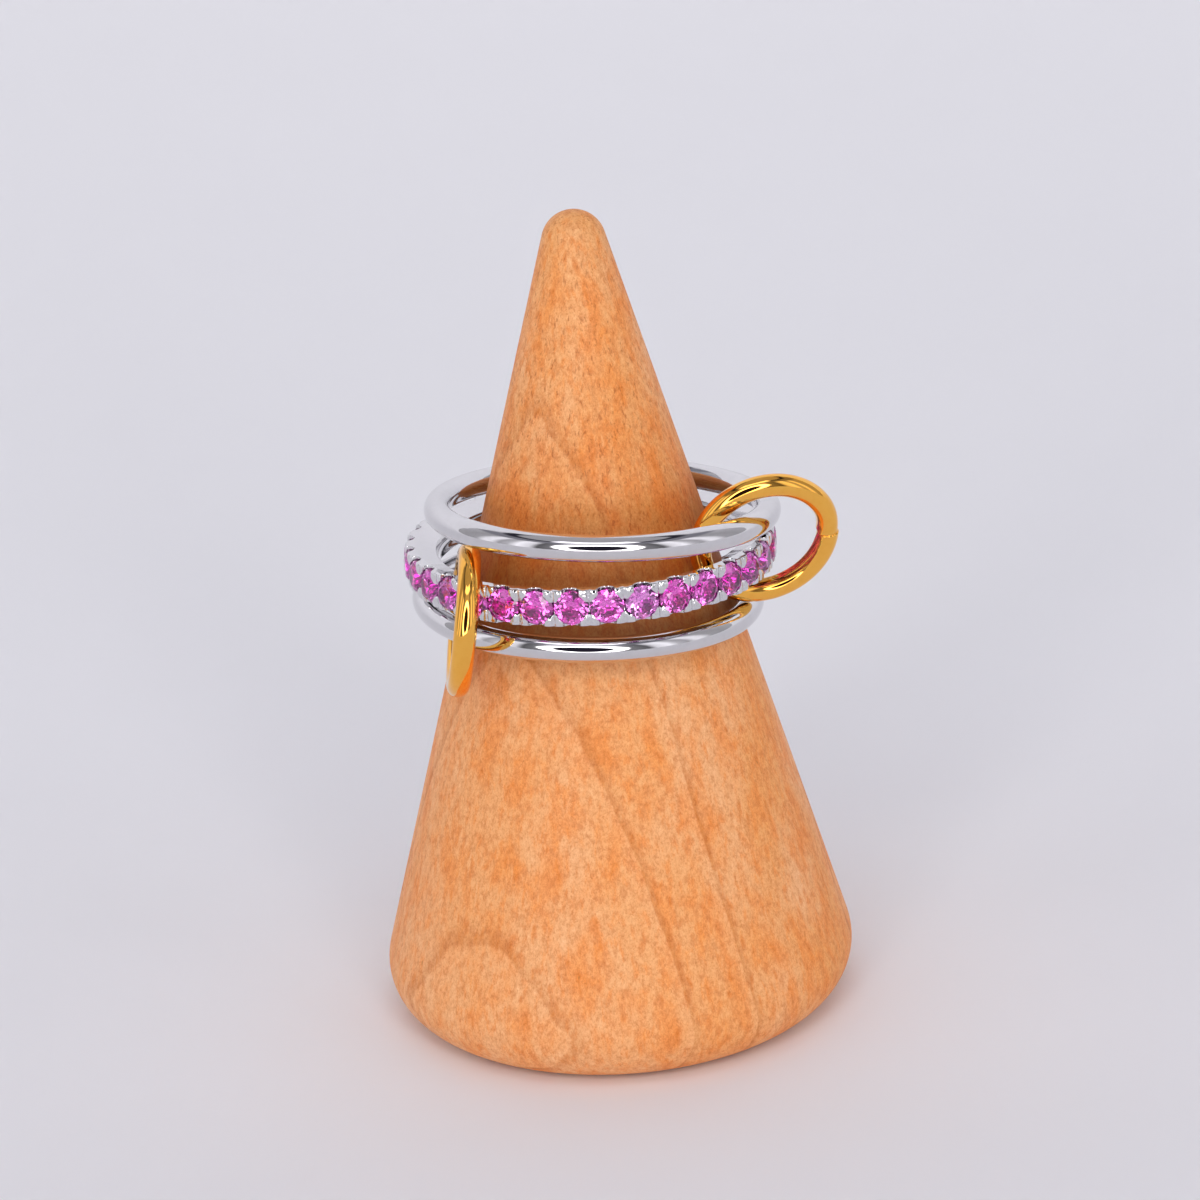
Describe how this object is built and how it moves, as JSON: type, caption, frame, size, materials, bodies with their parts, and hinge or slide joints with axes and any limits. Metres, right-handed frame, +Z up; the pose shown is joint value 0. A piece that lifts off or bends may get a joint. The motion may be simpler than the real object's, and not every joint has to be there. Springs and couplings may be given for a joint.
{
  "type": "triple ring on a wooden ring cone",
  "caption": "Slim finger bands chained together by small closed links, one band set all round with cut stones, standing round a plain tapered wooden cone with a rounded tip and a flat foot.",
  "frame": {"origin": "centre of the cone's flat foot, on the surface that it stands on", "axes": "+Z up along the cone's axis to its tip; -Y towards the front, +X to the right as seen from the front"},
  "size_m": [0.0271, 0.027, 0.047],
  "materials": {
    "wood": "satin, fine grain",
    "silver": "polished white metal",
    "gold": "polished yellow metal",
    "stone": "cut and polished, pink"
  },
  "bodies": {
    "root": {"ring_cone": "wood", "band_top": "silver", "band_pave": "silver", "band_bottom": "silver", "link_right": "gold", "link_left": "gold", "stone_01": "stone", "stone_02": "stone", "stone_03": "stone", "stone_04": "stone", "stone_05": "stone", "stone_06": "stone", "stone_07": "stone", "stone_08": "stone", "stone_09": "stone", "stone_10": "stone", "stone_11": "stone", "stone_12": "stone", "stone_13": "stone", "stone_14": "stone", "stone_15": "stone", "stone_16": "stone", "stone_17": "stone", "stone_18": "stone", "stone_19": "stone", "stone_20": "stone", "stone_21": "stone", "stone_22": "stone", "stone_23": "stone", "stone_24": "stone", "stone_25": "stone", "stone_26": "stone", "stone_27": "stone", "stone_28": "stone", "stone_29": "stone", "stone_30": "stone", "stone_31": "stone", "stone_32": "stone", "stone_33": "stone"}
  },
  "joints": []
}
